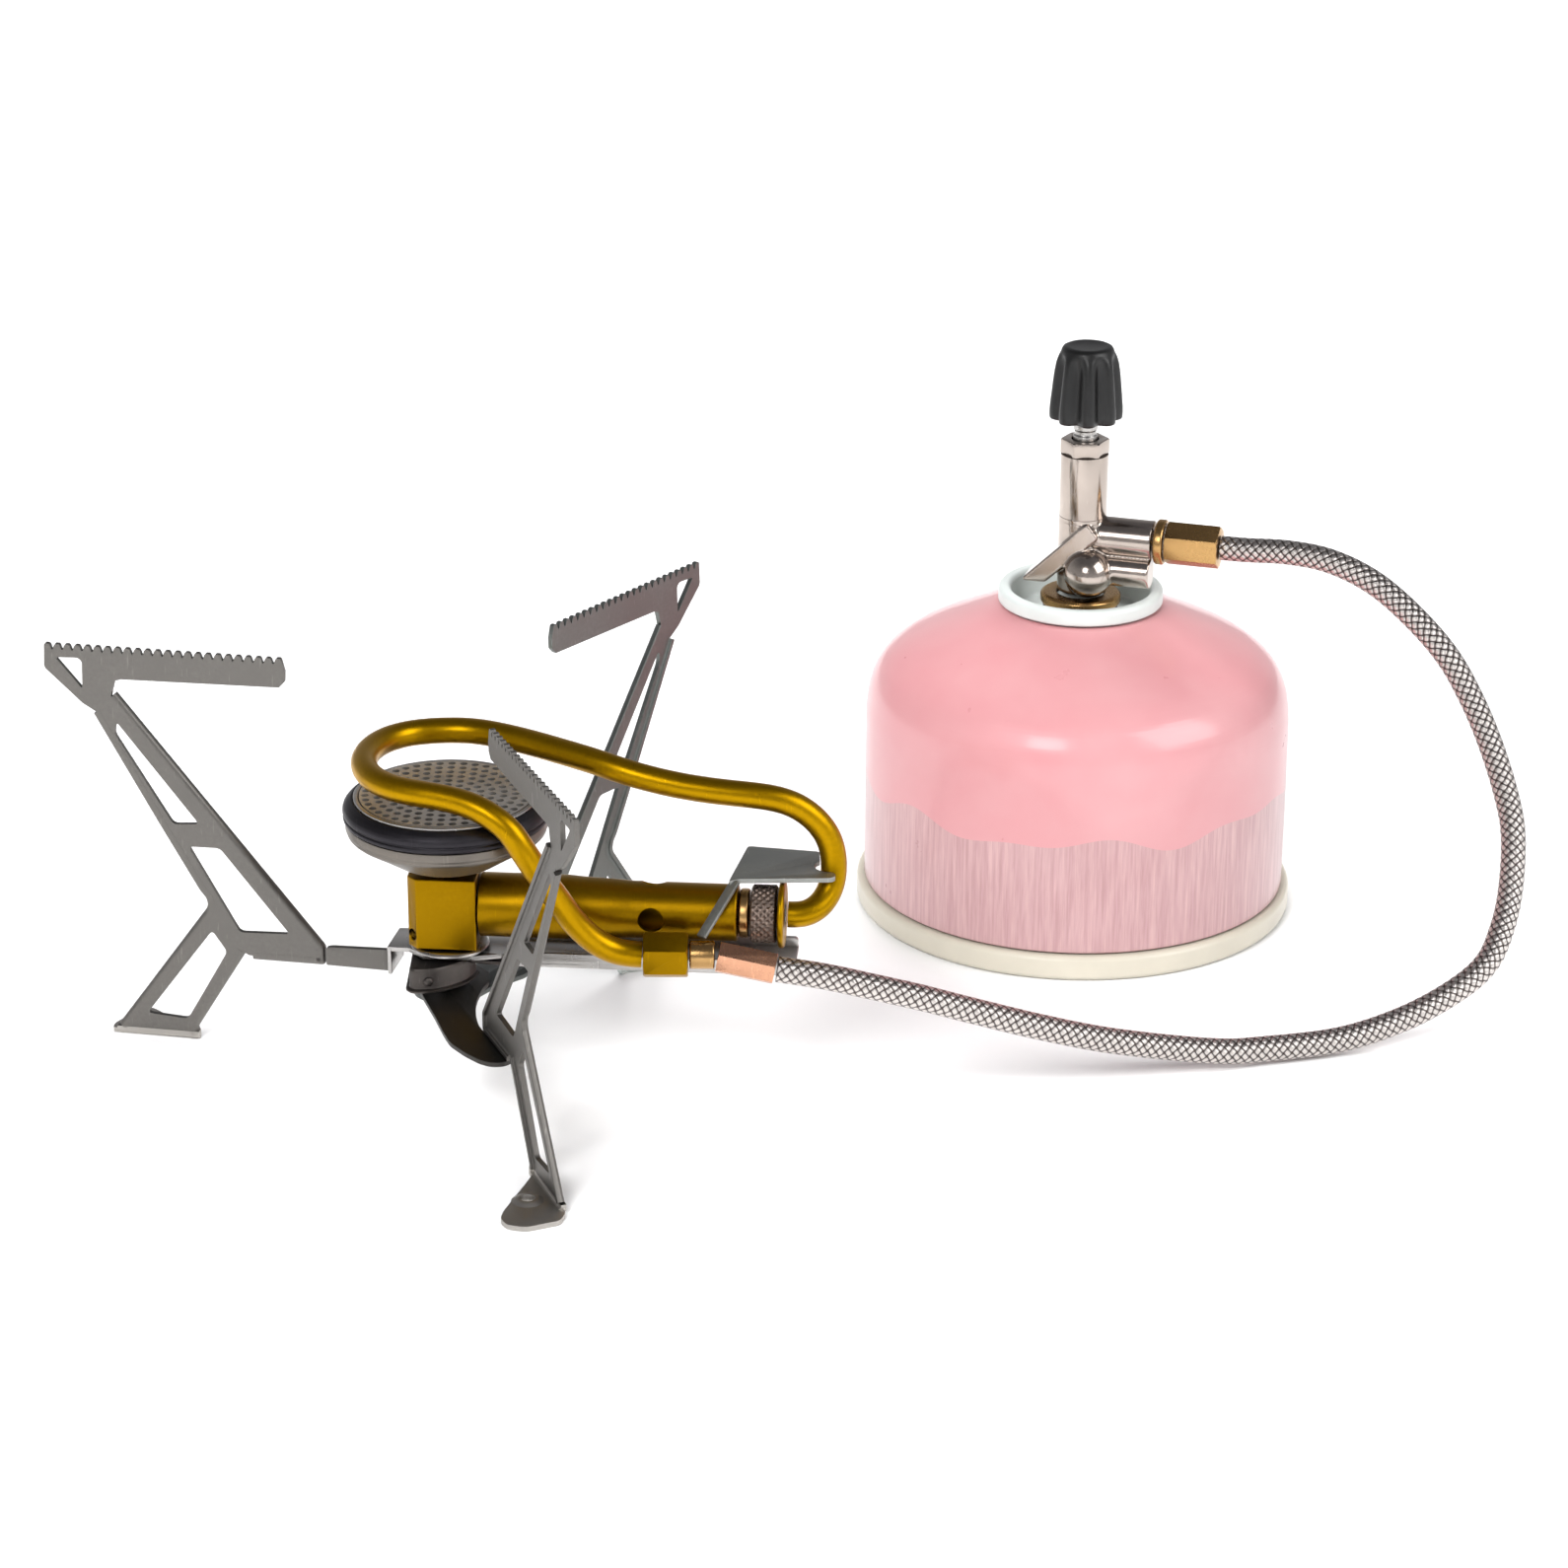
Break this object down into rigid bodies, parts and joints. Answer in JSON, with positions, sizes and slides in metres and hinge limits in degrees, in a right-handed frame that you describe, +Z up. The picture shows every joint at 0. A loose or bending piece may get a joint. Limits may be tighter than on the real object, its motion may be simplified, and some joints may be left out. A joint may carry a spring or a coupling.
{
  "type": "canister stove",
  "caption": "Hose-fed camping stove with folding serrated pot supports, round burner with a preheat loop, and a screw-on valve on a gas canister.",
  "frame": {"origin": "centre of the footprint box of the stove and canister, without the hose, on the surface they stand on", "axes": "+Z up; +X along the footprint's long side, from the burner's side towards the canister's side; +Y from the front leg towards the back"},
  "size_m": [0.2856, 0.2004, 0.1189],
  "materials": {
    "leg_steel": "stamped stainless sheet, satin, lightly worn",
    "hub_steel": "dark satin steel",
    "bright_steel": "bright turned or pressed steel",
    "burner_steel": "satin steel",
    "dark_band": "heat-darkened steel",
    "brass": "turned brass, slightly tarnished",
    "nut_brass": "polished brass",
    "copper": "copper-coloured crimp, satin",
    "valve_nickel": "polished nickel plating",
    "knob_black": "black moulded plastic",
    "seal_rubber": "black rubber",
    "hose_braid": "woven stainless braid",
    "canister_paint": "pale pink gloss lacquer",
    "canister_rim": "ivory lacquer",
    "cup_steel": "tinplate"
  },
  "bodies": {
    "stove": {"left_leg": "leg_steel", "left_leg_arm": "leg_steel", "hub_cup": "hub_steel", "pivot_bolt": "hub_steel", "pivot_spacer": "hub_steel", "hub_washer": "bright_steel", "base_rail": "bright_steel", "burner_block": "brass", "block_set_screw": "hub_steel", "burner_neck": "brass", "burner_bowl": "burner_steel", "burner_band": "dark_band", "burner_rim": "bright_steel", "flame_plate": "burner_steel", "mixing_tube": "brass", "gas_jet": "nut_brass", "jet_nut": "bright_steel", "jet_flange": "brass", "preheat_tube": "brass", "inlet_connector": "brass", "inlet_stub": "nut_brass", "inlet_ferrule": "copper", "tube_bracket": "leg_steel", "fuel_hose": "hose_braid", "valve_ferrule": "nut_brass", "barrel_ring": "nut_brass", "valve_body": "valve_nickel", "valve_collar": "nut_brass", "canister_seal": "seal_rubber", "valve_stem_housing": "valve_nickel", "packing_nut": "valve_nickel"},
    "front_leg": {"front_leg": "leg_steel"},
    "back_leg": {"back_leg": "leg_steel"},
    "knob": {"valve_knob": "knob_black", "valve_spindle": "bright_steel"},
    "canister": {"canister_body": "canister_paint", "canister_base": "canister_rim", "mounting_cup": "cup_steel"}
  },
  "joints": [
    {"name": "front_leg_fold", "type": "hinge", "parent": "stove", "child": "front_leg", "pos_m": [-0.04609, -0.02766, 0.0172], "axis": [0, 0, 1], "range_deg": [-98, 0]},
    {"name": "back_leg_fold", "type": "hinge", "parent": "stove", "child": "back_leg", "pos_m": [-0.04609, -0.02766, 0.0159], "axis": [0, 0, 1], "range_deg": [0, 100]},
    {"name": "valve_turn", "type": "hinge", "parent": "stove", "child": "knob", "pos_m": [0.07751, 0.05524, 0.1], "axis": [0, 0, 1], "range_deg": [0, 720]},
    {"name": "canister_unscrew", "type": "hinge", "parent": "stove", "child": "canister", "pos_m": [0.07751, 0.05524, 0.065], "axis": [0, 0, 1], "range_deg": [-1260, 0]}
  ]
}
